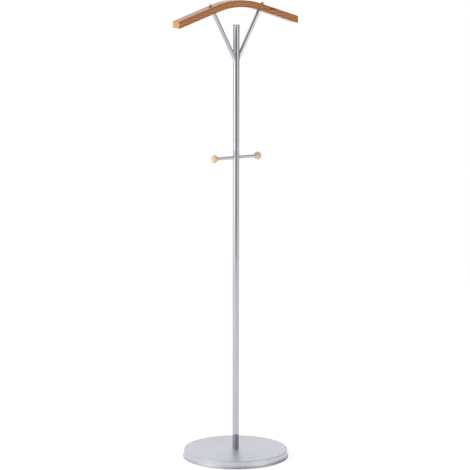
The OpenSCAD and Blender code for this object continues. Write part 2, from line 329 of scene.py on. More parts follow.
def spunSteel(name):
    # circular brushing: noise read along the radius, with a slow change along the angle, makes
    # fine rings; the shine is stretched across the rings
    v = coverFinish
    material, tree, shader = startMaterial(name, Metallic=1.0, Anisotropic=v["anisotropy"],
                                           Anisotropic_Rotation=0.25)
    radius, angle, height = polar(tree)
    wires = {"X": maths(tree, "MULTIPLY", radius, v["grooves"]),
             "Y": maths(tree, "MULTIPLY", maths(tree, "SINE", angle), 0.9),
             "Z": maths(tree, "MULTIPLY", height, v["grooves"])}
    ringPlace = addNode(tree, "ShaderNodeCombineXYZ", wires).outputs[0]
    rings = noise(tree, ringPlace, 1.0, 3.0, 0.65)
    coarse = noise(tree, ringPlace, 0.11, 2.0, 0.5)
    cloud = noise(tree, objectPlace(tree), 9, 3.0)
    both = weighed(tree, (rings, 0.4), (coarse, 0.25), (cloud, 0.35))
    tone = blendColour(tree, spread(tree, both, 0, 1, 0.38, 0.62), v["darkColour"], v["colour"])
    wireUp(tree, shader, tone, spread(tree, both, *v["roughness"], 0.38, 0.62),
           bump(tree, rings, v["grooveDepth"]))
    tangent = addNode(tree, "ShaderNodeTangent", direction_type="RADIAL", axis="Z")
    tree.links.new(tangent.outputs[0], shader.inputs["Tangent"])
    return material


metalValues = {
    # colour, darker colour, roughness from and to, grain steps to the metre, grain depth
    "dressed_weld": ((0.72, 0.72, 0.745), (0.62, 0.62, 0.64), (0.14, 0.24), 700, 0.01 * mm),
    "bright_zinc": ((0.66, 0.68, 0.71), (0.50, 0.51, 0.52), (0.22, 0.38), 900, 0.015 * mm),
    "turned_steel": ((0.46, 0.46, 0.48), (0.33, 0.33, 0.34), (0.28, 0.45), 1300, 0.02 * mm),
    "polished_nickel": ((0.74, 0.73, 0.72), (0.62, 0.61, 0.60), (0.11, 0.20), 500, 0.004 * mm),
}


def plainMetal(name):
    # turned or plated metal: fine grain and slow stains vary tone, roughness and bump together
    colour, darkColour, roughness, grain, depth = metalValues[name]
    material, tree, shader = startMaterial(name, Metallic=1.0)
    fine = noise(tree, objectPlace(tree), grain, 3.0, 0.6)
    slow = noise(tree, objectPlace(tree, move=(3, 1, 2)), grain / 9, 3.0)
    both = weighed(tree, (fine, 0.5), (slow, 0.5))
    tone = blendColour(tree, spread(tree, both, 0, 1, 0.36, 0.64), darkColour, colour)
    wireUp(tree, shader, tone, spread(tree, both, *roughness, 0.36, 0.64), bump(tree, fine, depth))
    return material


ironValues = {
    "colours": [(0.3, (0.018, 0.018, 0.020)), (0.55, (0.040, 0.040, 0.043)), (0.75, (0.075, 0.073, 0.072))],
    "pebble": 0.12 * mm,
    "lump": 0.25 * mm,
}


def castIron(name):
    # dark painted casting: pebbled skin from cell noise, with chalky high spots
    v = ironValues
    material, tree, shader = startMaterial(name, Metallic=0.0, Specular_IOR_Level=0.35)
    place = objectPlace(tree)
    cells = addNode(tree, "ShaderNodeTexVoronoi", {"Vector": place, "Scale": 420.0, "Smoothness": 0.8},
                    feature="SMOOTH_F1").outputs["Distance"]
    sand = noise(tree, place, 900, 4.0, 0.7)
    lumps = noise(tree, place, 60, 3.0)
    skin = weighed(tree, (cells, 0.5), (sand, 0.5))
    tone = ramp(tree, weighed(tree, (skin, 0.5), (lumps, 0.5)), v["colours"])
    pebbled = bump(tree, skin, v["pebble"], 0.8)
    wireUp(tree, shader, tone, spread(tree, sand, 0.55, 0.8), bump(tree, lumps, v["lump"], 0.5, pebbled))
    return material


# the seat ring's near-black colour is painted shade: it stands in for the shadow in the gap where the tube
# meets the hanger's underside
rubberValues = {"foot_rubber": (0.018, 0.018, 0.019), "dark_ring": (0.012, 0.012, 0.013)}


def darkRubber(name):
    # matt rubber: moulding grain, a little dust on the high spots; the seat ring's near-black colour is
    # painted shade
    material, tree, shader = startMaterial(name, Specular_IOR_Level=0.3)
    grain = noise(tree, objectPlace(tree), 1500, 3.0, 0.6)
    dust = noise(tree, objectPlace(tree), 120, 4.0, 0.65)
    colour = rubberValues[name]
    dusty = tuple(c * 2.6 + 0.01 for c in colour)
    tone = blendColour(tree, spread(tree, dust, 0, 0.8, 0.45, 0.75), colour, dusty)
    wireUp(tree, shader, tone, spread(tree, dust, 0.62, 0.85), bump(tree, grain, 0.03 * mm))
    return material


hangerWoodValues = {
    "heartOffset": (0.0, 0.075, -1.285),     # moves the growth rings' axis to the origin
    "ringWidth": 6.2 * mm,
    "wave": 36 * mm,
    "light": (0.68, 0.290, 0.082),
    "middle": (0.47, 0.165, 0.030),
    "dark": (0.170, 0.042, 0.005),
    "knot": (0.118, -0.020, 1.3995),
    "knotSharpness": (56, 40, 380),          # one over its half size each way
    "knotColour": (0.030, 0.006, 0.001),
    "endColours": [(0.0, (0.50, 0.25, 0.10)), (0.5, (0.80, 0.49, 0.25)), (1.0, (0.40, 0.18, 0.07))],
}


def hangerWood(name):
    # growth rings are cylinders about an axis along X, bent by slow noise; the distance from that
    # axis over the ring width, wrapped to 0..1, runs from pale early wood to a thin dark late line
    v = hangerWoodValues
    material, tree, shader = startMaterial(name, Coat_Weight=0.85, Coat_Roughness=0.25,
                                           Specular_IOR_Level=0.1)
    place = objectPlace(tree)
    slow = noise(tree, objectPlace(tree, (1, 1.6, 1.6)), 8.5, 2.0, 0.45, "Color")
    lift = vectorMaths(tree, "SCALE", vectorMaths(tree, "SUBTRACT", slow, (0.5, 0.5, 0.5)), v["wave"])
    bent = vectorMaths(tree, "ADD", place, lift)
    wires = {"Vector": bent, "Location": v["heartOffset"], "Scale": (0, 1, 1)}
    distance = vectorMaths(tree, "LENGTH", addNode(tree, "ShaderNodeMapping", wires).outputs[0])
    # the knot pushes the rings apart round a small dark core
    toKnot = vectorMaths(tree, "SUBTRACT", place, v["knot"])
    nearness = vectorMaths(tree, "LENGTH", vectorMaths(tree, "MULTIPLY", toKnot, v["knotSharpness"]))
    swirl = spread(tree, nearness, 1.0, 0.0, 0.0, 2.4, "SMOOTHSTEP")
    fibre = noise(tree, objectPlace(tree, (0.035, 1, 1)), 900, 3.0, 0.6)
    wrapped = maths(tree, "FRACT", weighed(tree, (distance, 1 / v["ringWidth"]), (swirl, 1.3), (fibre, 0.28)))
    tone = ramp(tree, wrapped, [(0.0, v["middle"]), (0.14, v["light"]), (0.42, v["light"]),
                                (0.66, v["middle"]), (0.88, v["dark"]), (1.0, v["middle"])], "EASE")
    broad = noise(tree, objectPlace(tree, (0.35, 1, 1), move=(1, 2, 3)), 26, 3.0, 0.5)
    tone = blendColour(tree, spread(tree, broad, 0.0, 0.45, 0.38, 0.66), tone, v["middle"])
    fibreTone = ramp(tree, fibre, [(0.30, (0.62, 0.52, 0.44)), (0.5, (1, 1, 1)), (0.75, (1.16, 1.13, 1.10))])
    tone = blendColour(tree, 0.8, tone, fibreTone, "MULTIPLY")
    # long thin pores
    pores = noise(tree, objectPlace(tree, (0.022, 1, 1), move=(5, 5, 5)), 2300, 1.0, 0.5)
    poreMask = spread(tree, pores, 0, 1, 0.60, 0.70)
    tone = blendColour(tree, maths(tree, "MULTIPLY", poreMask, 0.55), tone, v["dark"])
    core = spread(tree, nearness, 0.98, 0.0, 0.45, 1.25, "SMOOTHSTEP")
    tone = blendColour(tree, core, tone, v["knotColour"])
    # the rounded edges, and less so the ends, are a little darker
    edge = addNode(tree, "ShaderNodeAttribute", attribute_name="edgeTone").outputs["Fac"]
    tone = blendColour(tree, maths(tree, "MULTIPLY", edge, 0.45), tone, v["dark"])
    # sawn ends soak up less stain and look paler
    normal = addNode(tree, "ShaderNodeNewGeometry").outputs["Normal"]
    facing = addNode(tree, "ShaderNodeSeparateXYZ", {"Vector": normal}).outputs["X"]
    endGrain = spread(tree, maths(tree, "ABSOLUTE", facing), 0, 0.75, 0.7, 0.97)
    tone = blendColour(tree, endGrain, tone, ramp(tree, wrapped, v["endColours"]))
    grainBump = bump(tree, fibre, 0.035 * mm, 0.7)
    wireUp(tree, shader, tone, spread(tree, fibre, 0.42, 0.62),
           bump(tree, maths(tree, "SUBTRACT", 1.0, poreMask), 0.05 * mm, 0.6, grainBump))
    return material


knobWoodValues = {"light": (0.83, 0.64, 0.43), "dark": (0.66, 0.46, 0.27), "fleck": (0.50, 0.32, 0.17)}


def knobWood(name):
    # pale close-grained wood with its grain along the rod: faint wavy layers and short flecks
    v = knobWoodValues
    material, tree, shader = startMaterial(name, Coat_Weight=0.3, Coat_Roughness=0.25,
                                           Specular_IOR_Level=0.45)
    lift = vectorMaths(tree, "SCALE", noise(tree, objectPlace(tree), 45, 2.0, output="Color"), 6 * mm)
    bent = vectorMaths(tree, "ADD", objectPlace(tree, (0.1, 1, 1)), lift)
    wires = {"Vector": bent, "Scale": 95.0, "Distortion": 1.2, "Detail": 2.0}
    layers = addNode(tree, "ShaderNodeTexWave", wires, wave_type="BANDS", bands_direction="Z",
                     wave_profile="SAW").outputs["Fac"]
    tone = ramp(tree, layers, [(0.0, v["light"]), (0.7, v["light"]), (1.0, v["dark"])])
    cloud = noise(tree, objectPlace(tree, (0.5, 1, 1), move=(2, 0, 0)), 130, 3.0)
    tone = blendColour(tree, spread(tree, cloud, 0, 0.45, 0.4, 0.7), tone, v["dark"])
    flecks = noise(tree, objectPlace(tree, (0.09, 1, 1)), 2100, 1.0)
    fleckMask = spread(tree, flecks, 0, 1, 0.60, 0.68)
    tone = blendColour(tree, maths(tree, "MULTIPLY", fleckMask, 0.6), tone, v["fleck"])
    wireUp(tree, shader, tone, spread(tree, cloud, 0.36, 0.52),
           bump(tree, maths(tree, "SUBTRACT", 1.0, fleckMask), 0.03 * mm, 0.5))
    return material


finish = {
    "pole": drawnSteel("satin_steel_upright"),
    "left": drawnSteel("satin_steel_left_arm", -armLine["left"]["tilt"]),
    "right": drawnSteel("satin_steel_right_arm", armLine["right"]["tilt"]),
    "rod": drawnSteel("satin_steel_rod", lying=True),
    "cover": spunSteel("spun_steel"),
    "weld": plainMetal("dressed_weld"),
    "zinc": plainMetal("bright_zinc"),
    "turned": plainMetal("turned_steel"),
    "nickel": plainMetal("polished_nickel"),
    "iron": castIron("painted_casting"),
    "rubber": darkRubber("foot_rubber"),
    # seat ring finish: its near-black colour is painted shade for the gap under the hanger
    "ring": darkRubber("dark_ring"),
    "hangerWood": hangerWood("hanger_wood"),
    "knobWood": knobWood("knob_wood"),
}
print("stage: finishes made,", len(finish))


coverShape = {
    "sheet": 1.2 * mm,
    "shoulder": 2.5 * mm,
    "spread": 3.5 * mm,          # from the wall out to the lip
    "flareTop": 13 * mm,
    "edge": 1.6 * mm,
    "edgeSoft": 0.6 * mm,
    "hole": 5.3 * mm,
}


def makeBaseCover():
    # one sheet's outline, outside down and inside back up, turned about the pole's axis:
    # flat top, round shoulder, straight wall, then a flare on a circle that leaves the wall upright
    low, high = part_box("base_cover")
    s = coverShape
    lip, wall = high.x, high.x - s["spread"]
    lipTop = low.z + s["edge"]
    drop = s["flareTop"] - lipTop
    flareRadius = (drop ** 2 + s["spread"] ** 2) / (2 * s["spread"])
    lowest = math.asin(drop / flareRadius)

    def flare(inset):
        turn = np.linspace(0, lowest, 14)[:, None]
        radius = flareRadius + inset
        return np.concatenate([wall + flareRadius - radius * np.cos(turn),
                               s["flareTop"] - radius * np.sin(turn)], 1)

    def shoulder(inset):
        turn = np.linspace(math.pi / 2, 0, 12)[:, None]
        radius = s["shoulder"] - inset
        middleR, middleZ = wall - s["shoulder"], high.z - s["shoulder"]
        return np.concatenate([middleR + radius * np.cos(turn), middleZ + radius * np.sin(turn)], 1)

    outside = np.concatenate([[[s["hole"], high.z]], shoulder(0), flare(0)])
    inside = np.concatenate([[[s["hole"], high.z - s["sheet"]]], shoulder(s["sheet"]), flare(s["sheet"])])
    inner, beadTop = lip - s["edge"], lipTop + 0.2 * mm
    bead = softCorners([[lip, beadTop], [lip, low.z], [inner, low.z], [inner, beadTop]],
                       [0, s["edgeSoft"], s["edgeSoft"], 0], 5, closed=False)
    outline = splitLong(np.concatenate([outside, bead, inside[::-1]]), 12 * mm)
    piece = putSurface("base_cover_spun", revolved(outline, 240), True)
    return finished(piece, finish["cover"], ["base_cover"], 40)


weightShape = {"dish": 6 * mm, "ring": 30 * mm, "hub": 32 * mm, "bore": 5.3 * mm, "counterbore": 14 * mm,
               "counterboreTop": 16.2 * mm, "bevel": 2.5 * mm, "soft": 1.6 * mm}


def makeBaseWeight():
    # casting: ring and hub standing down from a dished plate, all corners softened, turned about Z
    low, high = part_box("base_weight")
    s = weightShape
    outer, dishTop = high.x, low.z + s["dish"]
    corners = [[s["bore"], high.z], [outer - s["bevel"], high.z], [outer, high.z - s["bevel"]],
               [outer, low.z], [outer - s["ring"], low.z], [outer - s["ring"] - s["dish"] / 2, dishTop],
               [s["hub"] + s["dish"] / 2, dishTop], [s["hub"], low.z], [s["counterbore"], low.z],
               [s["counterbore"], s["counterboreTop"]], [s["bore"], s["counterboreTop"]]]
    soft = s["soft"]
    radii = [0.3 * mm, 0.8 * soft, 0.8 * soft, soft, soft, 2 * soft, 2 * soft, soft,
             0.6 * mm, 0.5 * mm, 0.4 * mm]
    outline = splitLong(softCorners(corners, radii), 10 * mm)
    piece = putSurface("base_weight_casting", revolved(outline, 160), True)
    return finished(piece, finish["iron"], ["base_weight"])


footShape = {"count": 6, "radius": 11 * mm, "hole": 4.3 * mm, "shank": 2.3 * mm, "edge": 1.4 * mm,
             "groove": 0.7 * mm}


def makeFeet():
    # each foot is a turned pad with a rounded tread edge, one shallow ring groove in the tread
    # and a counterbore for its screw; all feet are copies of one grid turned about the pole's axis
    low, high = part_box("rubber_feet")
    s = footShape
    height = high.z - low.z
    radius = s["radius"]
    circle = high.y - radius
    grooveAt = (s["hole"] + radius) / 2 + 0.4 * mm
    groove, step = s["groove"], height / 2
    corners = [[s["hole"], 0], [grooveAt - groove, 0], [grooveAt, groove], [grooveAt + groove, 0],
               [radius, 0], [radius, height], [s["shank"], height], [s["shank"], step], [s["hole"], step]]
    radii = [0.4 * mm, 0.2 * mm, 0.3 * mm, 0.2 * mm, s["edge"], 0.3 * mm, 0.1 * mm, 0.1 * mm, 0.2 * mm]
    pad = revolved(softCorners(corners, radii, 5), 48)
    pad[..., 2] = np.maximum(pad[..., 2], 0)    # no rounding error below the floor
    made = []
    for number in range(s["count"]):
        turn = (number + 0.5) * 2 * math.pi / s["count"]
        shift = np.array([circle * math.cos(turn), circle * math.sin(turn), low.z])
        made.append(putSurface("rubber_foot_%d" % (number + 1), pad + shift, True))
    joined = made[0]
    with bpy.context.temp_override(active_object=joined, selected_editable_objects=made,
                                   selected_objects=made):
        bpy.ops.object.join()
    joined.name = "rubber_feet_moulded"
    return finished(joined, finish["rubber"], ["rubber_feet"])


def hexagonRadius(angle, flats):
    # distance from the centre to a hexagon's side: half the flats over the cosine of the angle
    # measured from the middle of the nearest side
    sixth = math.pi / 3
    return flats / 2 / np.cos((angle + sixth / 2) % sixth - sixth / 2)


def hexagonRows(flats, heights, segments=192):
    # rows of a chamfered hexagon: the smaller of the hexagon's radius and a 30 degree cone's, which
    # starts from the inner circle at both ends
    coneSlope = 1.73
    angle = np.arange(segments) / segments * 2 * math.pi
    low, high = heights[0], heights[-1]
    rows = []
    for height in heights:
        cone = flats / 2 + coneSlope * min(height - low, high - height)
        radius = np.minimum(hexagonRadius(angle, flats), cone)
        rows.append(np.stack([radius * np.cos(angle), radius * np.sin(angle), height + 0 * angle], -1))
    return np.stack(rows)


def drawnIn(row, share):
    # the same row pulled in towards the Z axis
    return row * np.array([share, share, 1])


boltShape = {"head": 6.4 * mm, "shank": 5 * mm, "pitch": 1.5 * mm, "depth": 0.5 * mm, "point": 0.8 * mm}


def makePoleBolt():
    # chamfered hexagon head, then a threaded shank whose radius follows a zigzag down and up each pitch
    low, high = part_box("pole_bolt")
    s = boltShape
    heights = low.z + s["head"] * np.array([0, 0.03, 0.08, 0.14, 0.5, 0.86, 0.92, 0.97, 1.0])
    sides = hexagonRows(high.y - low.y, heights)
    top = low.z + s["head"]
    turns = np.arange(top + 1 * mm, high.z - 1 * mm, s["pitch"] / 4)
    wave = s["shank"] - s["depth"] * np.array([0, 0.5, 1, 0.5])[np.arange(len(turns)) % 4]
    profile = np.concatenate([[[s["shank"], top]], np.stack([wave, turns], 1),
                              [[s["shank"] - s["point"], high.z], [0, high.z]]])
    grid = np.concatenate([drawnIn(sides[:1], 0), drawnIn(sides[:1], 0.9), sides, revolved(profile, 192)])
    piece = putSurface("pole_bolt_hex", grid, False)
    return finished(piece, finish["zinc"], ["pole_bolt"])


makeBaseCover()
makeBaseWeight()
makeFeet()
makePoleBolt()
print("stage: base made")


poleShape = {"bore": 8.5 * mm, "edge": 0.35 * mm, "rodHole": 5.05 * mm, "screwHole": 2.05 * mm,
             "cut": 30 * mm}


def makePole():
    # tube wall outline with eased ends turned about Z, then the rod's and the set screw's holes
    low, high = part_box("pole")
    s = poleShape
    corners = [[poleRadius, low.z], [poleRadius, high.z], [s["bore"], high.z], [s["bore"], low.z]]
    outline = splitLong(softCorners(corners, [s["edge"]] * 4, 4), 60 * mm)
    piece = putSurface("pole_tube", revolved(outline, 96), True)
    rodMiddle = middle("peg_rod")
    cutters = [rod("rodCutter", s["rodHole"], -s["cut"], s["cut"], rodMiddle, (1, 0, 0))]
    profile = np.array([[0, 0], [s["screwHole"], 0], [s["screwHole"], s["cut"]], [0, s["cut"]]])
    backwards = revolved(profile, 48)[..., [0, 2, 1]] + rodMiddle
    cutters.append(putSurface("screwCutter", backwards, False))
    return finished(bored(piece, cutters), finish["pole"], ["pole"], 30)


capShape = {"disc": 1.2 * mm, "spigot": 8.45 * mm, "rim": 0.5 * mm, "dome": 0.1 * mm, "chamfer": 0.5 * mm}


def makeTopCap():
    # slightly domed disc with a rounded rim; its chamfered spigot hides in the tube
    low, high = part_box("pole_top_cap")
    s = capShape
    r, rim, under = poleRadius, s["rim"], high.z - s["disc"]
    turn = np.linspace(0, math.pi / 2, 8)[:, None]
    edge = np.concatenate([r - rim + rim * np.sin(turn), high.z - s["dome"] - rim + rim * np.cos(turn)], 1)
    crown = np.array([[0, high.z], [0.45 * r, high.z - 0.2 * s["dome"]],
                      [0.75 * r, high.z - 0.6 * s["dome"]]])
    foot = np.array([[r, under + 0.15 * mm], [r - 0.15 * mm, under], [s["spigot"], under],
                     [s["spigot"], low.z + s["chamfer"]], [s["spigot"] - s["chamfer"], low.z], [0, low.z]])
    piece = putSurface("pole_cap_turned", revolved(np.concatenate([crown, edge, foot]), 96), False)
    return finished(piece, finish["pole"], ["pole_top_cap"])


def makePegRod():
    # cylinder about X with chamfered ends
    low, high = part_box("peg_rod")
    radius, half, edge, inPole = (high.z - low.z) / 2, high.x, 0.5 * mm, 30 * mm
    profile = np.array([[0, -half], [radius - edge, -half], [radius, -half + edge], [radius, -inPole],
                        [radius, 0], [radius, inPole], [radius, half - edge], [radius - edge, half],
                        [0, half]])
    piece = putSurface("peg_rod_turned", carried(revolved(profile, 72), middle("peg_rod"), (1, 0, 0)), False)
    return finished(piece, finish["rod"], ["peg_rod"])


knobShape = {
    "across": 12.5 * mm,
    "half": 10 * mm,
    "neck": 5.0 * mm,
    "neckEnd": 2.2 * mm,
    "fullness": 2.15,
    "joinAngle": math.radians(26),      # where on the ball the neck runs into it
    "latheMark": 0.03 * mm,
}


def makeKnob(sideName, side):
    # profile along the rod: a short neck, a hollow curve out of it, then a flattened ball given by
    # (radius / across) ^ p + (distance / half) ^ p = 1, with faint lathe marks
    low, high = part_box(sideName + "_peg_knob")
    s = knobShape
    inner, outer = (low.x, high.x) if side > 0 else (-high.x, -low.x)
    centre = outer - s["half"]
    p = s["fullness"]
    share = np.linspace(0, 1, 64)
    angle = np.linspace(s["joinAngle"], math.pi, 64)
    across = s["across"] * np.sin(angle) ** (2 / p)
    along = -s["half"] * np.sign(np.cos(angle)) * np.abs(np.cos(angle)) ** (2 / p)
    across = across - s["latheMark"] * (0.5 + 0.5 * np.cos(share * 90)) * np.sin(math.pi * share)
    across[-1] = 0
    ball = np.stack([across, centre + along], 1)
    join = np.linspace(0, 1, 12)[:, None]
    neckEnd = np.array([s["neck"] + 0.2 * mm, inner + s["neckEnd"]])
    bend = np.array([s["neck"] + 0.1 * mm, ball[0, 1] + 0.1 * mm])
    hollow = (1 - join) ** 2 * neckEnd + 2 * join * (1 - join) * bend + join ** 2 * ball[0]
    neck = np.array([[0, inner], [s["neck"] - 0.5 * mm, inner], [s["neck"], inner + 0.5 * mm]])
    profile = np.concatenate([neck, hollow, ball[1:]])
    grid = carried(revolved(profile, 96), (0, 0, middle("peg_rod")[2]), (side, 0, 0))
    piece = putSurface(sideName + "_knob_turned", grid, False)
    return finished(piece, finish["knobWood"], [sideName + "_peg_knob"], 50)


makePole()
makeTopCap()
makePegRod()
for sideName in armLine:
    makeKnob(sideName, armLine[sideName]["side"])
print("stage: pole and pegs made")


armShape = {"wall": 1.2 * mm, "rim": 0.3 * mm, "segments": 96}


def tubeRadius(sideName):
    # the frame's tube is faceted, so its width is taken to the nearest millimetre
    return round(span(sideName + "_arm_tube")[1] / mm) / 2 * mm


def lowestOnArm(radius, angle, tilt, reach):
    # how far up the tube's axis its line at this angle leaves a pole of radius reach:
    # (sqrt(reach^2 - (r sin angle)^2) - r cos angle cos tilt) / sin tilt
    depth = np.sqrt(reach ** 2 - (radius * np.sin(angle)) ** 2)
    return (depth - radius * np.cos(angle) * math.cos(tilt)) / math.sin(tilt)


def onArm(radius, angle, height, line):
    # point at this radius and angle about the tube's axis; the angle starts on the side away from the pole
    grid = np.stack([line["side"] * radius * np.cos(angle), radius * np.sin(angle) + 0 * height, height], -1)
    return carried(grid, line["origin"], line["direction"])


def makeArm(sideName):
    # tube whose lower end follows the pole's round side, outside and inside
    line = armLine[sideName]
    radius, rim = tubeRadius(sideName), armShape["rim"]
    seat, _, seatThick = ringOnArm(sideName + "_seat_ring", line["tilt"])
    top = np.linalg.norm(seat - line["origin"]) - seatThick / 2
    angle = np.arange(armShape["segments"]) / armShape["segments"] * 2 * math.pi
    inner = radius - armShape["wall"]
    share = np.linspace(0, 1, 24)[:, None]
    outLow = lowestOnArm(radius, angle, line["tilt"], poleRadius)
    inLow = lowestOnArm(inner, angle, line["tilt"], poleRadius)
    out = onArm(radius, angle + 0 * share, outLow + (top - rim - outLow) * share, line)
    back = onArm(inner, angle + 0 * share, inLow + (top - inLow) * share, line)[::-1]
    edge = onArm(radius - rim, angle[None], np.full((1, len(angle)), top), line)
    piece = putSurface(sideName + "_arm_coped", np.concatenate([out, edge, back]), True)
    return finished(piece, finish[sideName], [sideName + "_arm_tube"])


weldShape = {"reach": 4.0 * mm, "fullness": 0.60, "buried": 0.5 * mm, "ripple": 0.012 * mm, "ripples": 30}


def makeWeld(sideName):
    # fillet round the tube's foot: between a line on the tube and a line on the pole, a curve pulled
    # part of the way into the corner, with fine ripples round it; the back closes inside the metal
    line = armLine[sideName]
    s = weldShape
    tilt, radius = line["tilt"], tubeRadius(sideName)
    segments = 240
    angle = np.arange(segments) / segments * 2 * math.pi
    cornerHeight = lowestOnArm(radius, angle, tilt, poleRadius)
    corner = onArm(radius, angle, cornerHeight, line)
    onTube = onArm(radius, angle, cornerHeight + s["reach"], line)
    wide = radius + s["reach"] * 0.85
    onPole = onArm(wide, angle, lowestOnArm(wide, angle, tilt, poleRadius), line)
    buried = radius - s["buried"]
    hidden = onArm(buried, angle, lowestOnArm(buried, angle, tilt, poleRadius - s["buried"]), line)
    share = np.linspace(0, 1, 14)[:, None, None]
    pull = corner + (0.5 * (onTube + onPole) - corner) * s["fullness"]
    face = (1 - share) ** 2 * onTube + 2 * share * (1 - share) * pull + share ** 2 * onPole
    outward = pull - hidden
    outward = outward / np.linalg.norm(outward, axis=-1, keepdims=True)
    ripple = s["ripple"] * np.cos(s["ripples"] * angle)[None, :, None] * np.sin(math.pi * share)
    grid = np.concatenate([face + outward * ripple, hidden[None]])
    piece = putSurface(sideName + "_weld_fillet", grid, True)
    return finished(piece, finish["weld"], [sideName + "_arm_weld"], 60)


ringShape = {
    # part replaced: new name, hole, rounding of the four edges in mm, segments, finish, slot
    # the seat ring's near-black finish is painted shade for the gap under the hanger
    "seat_ring": ("_seat_ring_moulded", 3.3 * mm, (0.2, 0.6, 0.6, 0.2), 72, "ring", "dark_ring"),
    "hanger_washer": ("_washer_pressed", 3.3 * mm, (0.2, 0.25, 0.5, 0.2), 96, "nickel", "nut_steel"),
}


def makeRing(sideName, part):
    # flat ring with rounded rims on the tube's axis
    newName, hole, rounding, segments, finishName, slotName = ringShape[part]
    line = armLine[sideName]
    centre, radius, thick = ringOnArm(sideName + "_" + part, line["tilt"])
    corners = [[hole, -thick / 2], [radius, -thick / 2], [radius, thick / 2], [hole, thick / 2]]
    profile = softCorners(corners, [r * mm for r in rounding])
    grid = carried(revolved(profile, segments), centre, line["direction"])
    piece = putSurface(sideName + newName, grid, True)
    return finished(piece, finish[finishName], [sideName + "_" + part])


nutShape = {"flats": 10 * mm, "hexHeight": 5 * mm, "height": 9.4 * mm, "dome": 4.65 * mm, "neck": 4.75 * mm,
            "collar": 0.35 * mm}


def makeCapNut(sideName):
    # chamfered hexagon, a small collar, then a dome: a quarter ellipse from the collar to the top
    line = armLine[sideName]
    s = nutShape
    centre, _, thick = ringOnArm(sideName + "_hanger_washer", line["tilt"])
    base = centre + line["direction"] * thick / 2
    hexTop = s["hexHeight"]
    sides = hexagonRows(s["flats"], hexTop * np.array([0, 0.03, 0.08, 0.15, 0.5, 0.85, 0.92, 0.97, 1.0]))
    domeFoot = hexTop + s["collar"]
    turn = np.linspace(0, math.pi / 2, 18)[:, None]
    dome = np.concatenate([s["dome"] * np.cos(turn), domeFoot + (s["height"] - domeFoot) * np.sin(turn)], 1)
    dome[-1, 0] = 0
    collar = np.array([[s["neck"], hexTop + 0.05 * mm], [s["dome"], hexTop + 0.2 * mm]])
    grid = np.concatenate([drawnIn(sides[:1], 0), sides, revolved(np.concatenate([collar, dome]), 192)])
    piece = putSurface(sideName + "_cap_nut_domed", carried(grid, base, line["direction"]), False)
    return finished(piece, finish["nickel"], [sideName + "_cap_nut"], 28)


for sideName in armLine:
    makeArm(sideName)
    makeWeld(sideName)
    for part in ringShape:
        makeRing(sideName, part)
    makeCapNut(sideName)
print("stage: arms made")


hangerShape = {
    "crown": 260 * mm,
    "thickness": 20.5 * mm,
    "slope": math.radians(18),
    "edge": 2.2 * mm,
    "endEdge": 3.4 * mm,
    "boreGap": 0.3 * mm,
    "studHole": 3.3 * mm,
    "stations": 150,
}


def bowHeight(x, radius):
    # height above the crown's top, so zero or less, at distance x: sqrt(radius^2 - x^2) up to the
    # tangent point, then radius / cos slope - x tan slope, both less the crown's radius
    slope = hangerShape["slope"]
    away = np.abs(x)
    onCircle = np.sqrt(np.maximum(radius ** 2 - away ** 2, 0))
    onSlope = radius / math.cos(slope) - away * math.tan(slope)
    return np.where(away < radius * math.sin(slope), onCircle, onSlope) - hangerShape["crown"]


